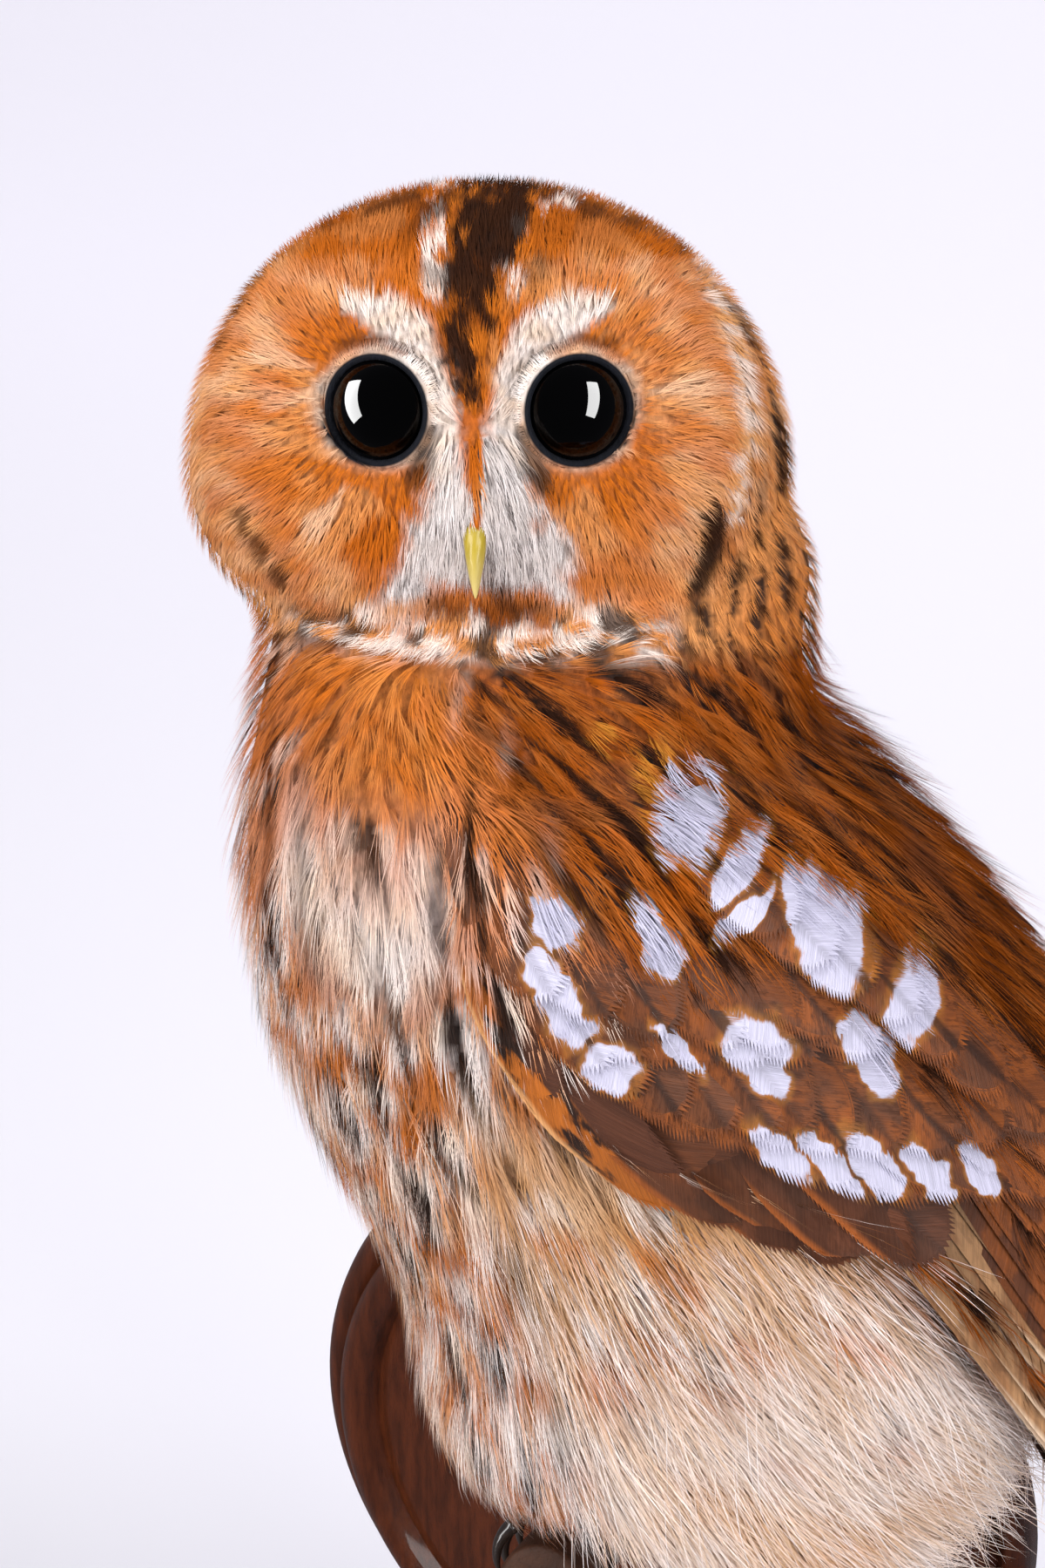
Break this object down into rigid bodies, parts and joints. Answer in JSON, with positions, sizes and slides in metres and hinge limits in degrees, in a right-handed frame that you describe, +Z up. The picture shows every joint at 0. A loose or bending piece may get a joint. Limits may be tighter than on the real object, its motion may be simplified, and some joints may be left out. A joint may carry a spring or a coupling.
{
  "type": "taxidermy tawny owl on a wall plaque",
  "caption": "Life-size mounted tawny owl, head turned to look out over its left shoulder, on a peg that stands out of a round turned wall plaque.",
  "frame": {"origin": "centre of the plaque's flat back, on the wall", "axes": "+Z up, +Y into the wall, so the owl is in front at -Y, and +X to the right as seen from in front"},
  "size_m": [0.2741, 0.1598, 0.4464],
  "materials": {
    "plumage_rufous": "soft rufous feathers, streaked black-brown",
    "plumage_pale": "loose cream and gold body feathers",
    "flight_feathers": "firm brown vanes with white and buff spots",
    "eye_glass": "polished black glass",
    "bill_horn": "smooth yellow-olive horn",
    "claw_horn": "glossy black horn, reddish at the root",
    "dark_wood": "dark red-brown stain under worn varnish"
  },
  "bodies": {
    "root": {"head": "plumage_rufous", "neck": "plumage_rufous", "trunk": "plumage_pale", "leg_left": "plumage_pale", "leg_right": "plumage_pale", "wing_left": "flight_feathers", "wing_right": "flight_feathers", "tail": "flight_feathers", "eye_left": "eye_glass", "eye_right": "eye_glass", "bill": "bill_horn", "claw_left_1": "claw_horn", "claw_left_2": "claw_horn", "claw_left_3": "claw_horn", "claw_left_4": "claw_horn", "claw_right_1": "claw_horn", "claw_right_2": "claw_horn", "claw_right_3": "claw_horn", "claw_right_4": "claw_horn", "perch": "dark_wood", "plaque": "dark_wood"}
  },
  "joints": []
}
